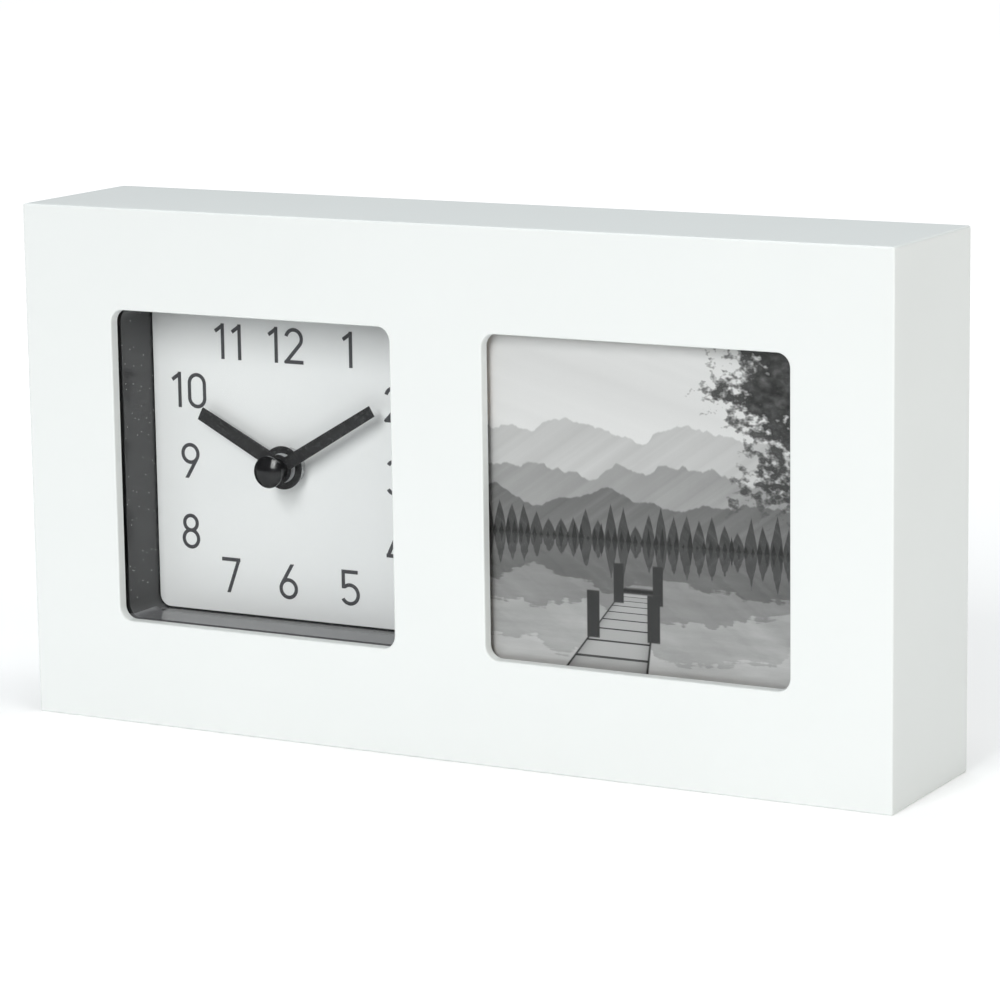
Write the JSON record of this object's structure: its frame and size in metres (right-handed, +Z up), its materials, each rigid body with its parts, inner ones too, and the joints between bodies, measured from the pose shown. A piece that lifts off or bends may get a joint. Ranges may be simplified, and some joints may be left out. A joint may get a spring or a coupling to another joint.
{
  "type": "photo frame clock",
  "caption": "Free-standing white box frame with a quartz clock in a black recess behind one square window and a small picture behind the other.",
  "frame": {"origin": "middle of the underside, where the box stands", "axes": "+X to the right seen from the front, +Y to the back, +Z up; the front faces -Y"},
  "size_m": [0.21, 0.04, 0.116],
  "materials": {
    "white_board": "satin white paint on fibreboard",
    "raw_board": "bare fibreboard",
    "hardboard": "brown hardboard",
    "clear_pane": "clear and polished",
    "black_plastic": "smooth black",
    "dial_card": "matt white",
    "dial_ink": "matt dark grey print",
    "hand_black": "powder black",
    "cap_black": "glossy black",
    "bright_steel": "plated",
    "brass": "plain",
    "movement_black": "fine textured",
    "bridge_plastic": "satin blue grey",
    "nylon": "natural white",
    "board_green": "lacquered",
    "chip_black": "resin",
    "magnet": "sintered",
    "copper_wire": "enamelled",
    "cell_steel": "nickel plated",
    "cell_sleeve": "printed film, plain bands",
    "picture_paper": "satin black and white print"
  },
  "bodies": {
    "housing": {"front_panel": "white_board", "top_rail": "white_board", "bottom_rail": "white_board", "left_rail": "white_board", "right_rail": "white_board", "clock_pane": "clear_pane", "clock_tray": "black_plastic", "tray_screws": "bright_steel", "dial_plate": "dial_card", "dial_numerals": "dial_ink", "mounting_nut": "bright_steel", "threaded_bushing": "brass", "movement_case": "movement_black", "movement_back": "movement_black", "gear_bridge": "bridge_plastic", "positive_contact": "bright_steel", "negative_contact": "bright_steel", "circuit_board": "board_green", "clock_chip": "chip_black", "quartz_crystal": "bright_steel", "stator_plate": "bright_steel", "coil_core": "bright_steel", "coil_bobbin": "nylon", "coil_winding": "copper_wire", "photo_pane": "clear_pane", "photo_pocket": "raw_board", "pocket_screws": "bright_steel", "turn_button_screws": "bright_steel"},
    "minute_group": {"minute_arbor": "brass", "clutch_washer": "bright_steel", "minute_hand": "hand_black", "minute_collet": "hand_black", "hub_cap": "cap_black"},
    "hour_group": {"hour_wheel": "nylon", "hour_hand": "hand_black", "hour_collet": "nylon"},
    "setting_group": {"minute_wheel": "nylon", "set_knob": "movement_black"},
    "seconds_group": {"seconds_wheel": "nylon"},
    "third_group": {"third_wheel": "nylon"},
    "centre_group": {"centre_wheel": "brass"},
    "fifth_group": {"fifth_wheel": "nylon"},
    "rotor_group": {"rotor": "magnet"},
    "battery": {"battery_cell": "cell_steel", "battery_sleeve": "cell_sleeve"},
    "picture_back": {"backing_board": "hardboard", "photo_print": "picture_paper"},
    "left_button": {"turn_button_left": "brass"},
    "right_button": {"turn_button_right": "brass"}
  },
  "joints": [
    {"name": "minute_hand_spin", "type": "hinge", "parent": "housing", "child": "minute_group", "pos_m": [-0.0467, 0, 0.0584], "axis": [0, 1, 0], "continuous": true},
    {"name": "hour_hand_spin", "type": "hinge", "parent": "housing", "child": "hour_group", "pos_m": [-0.0467, 0, 0.0584], "axis": [0, 1, 0], "continuous": true},
    {"name": "set_knob_spin", "type": "hinge", "parent": "housing", "child": "setting_group", "pos_m": [-0.03511, 0, 0.06151], "axis": [0, 1, 0], "continuous": true},
    {"name": "seconds_wheel_spin", "type": "hinge", "parent": "housing", "child": "seconds_group", "pos_m": [-0.0467, 0, 0.0584], "axis": [0, 1, 0], "continuous": true},
    {"name": "third_wheel_spin", "type": "hinge", "parent": "housing", "child": "third_group", "pos_m": [-0.05673, 0, 0.06542], "axis": [0, 1, 0], "continuous": true},
    {"name": "centre_wheel_spin", "type": "hinge", "parent": "housing", "child": "centre_group", "pos_m": [-0.0467, 0, 0.0584], "axis": [0, 1, 0], "continuous": true},
    {"name": "fifth_wheel_spin", "type": "hinge", "parent": "housing", "child": "fifth_group", "pos_m": [-0.04359, 0, 0.06999], "axis": [0, 1, 0], "continuous": true},
    {"name": "rotor_spin", "type": "hinge", "parent": "housing", "child": "rotor_group", "pos_m": [-0.03939, 0, 0.07727], "axis": [0, 1, 0], "continuous": true},
    {"name": "battery_slide", "type": "slide", "parent": "housing", "child": "battery", "axis": [0, 1, 0], "range_m": [0, 0.025]},
    {"name": "backing_slide", "type": "slide", "parent": "housing", "child": "picture_back", "axis": [0, 1, 0], "range_m": [0, 0.036]},
    {"name": "left_button_turn", "type": "hinge", "parent": "housing", "child": "left_button", "pos_m": [0.00495, 0, 0.0584], "axis": [0, 1, 0], "range_deg": [0, 90]},
    {"name": "right_button_turn", "type": "hinge", "parent": "housing", "child": "right_button", "pos_m": [0.08845, 0, 0.0584], "axis": [0, 1, 0], "range_deg": [0, 90]}
  ],
  "couplings": [
    {"joint": "hour_hand_spin", "follows": "minute_hand_spin", "ratio": 0.083333},
    {"joint": "set_knob_spin", "follows": "minute_hand_spin", "ratio": -0.33333},
    {"joint": "third_wheel_spin", "follows": "seconds_wheel_spin", "ratio": -0.13333},
    {"joint": "centre_wheel_spin", "follows": "seconds_wheel_spin", "ratio": 0.016667},
    {"joint": "fifth_wheel_spin", "follows": "seconds_wheel_spin", "ratio": -5},
    {"joint": "rotor_spin", "follows": "seconds_wheel_spin", "ratio": 30}
  ]
}
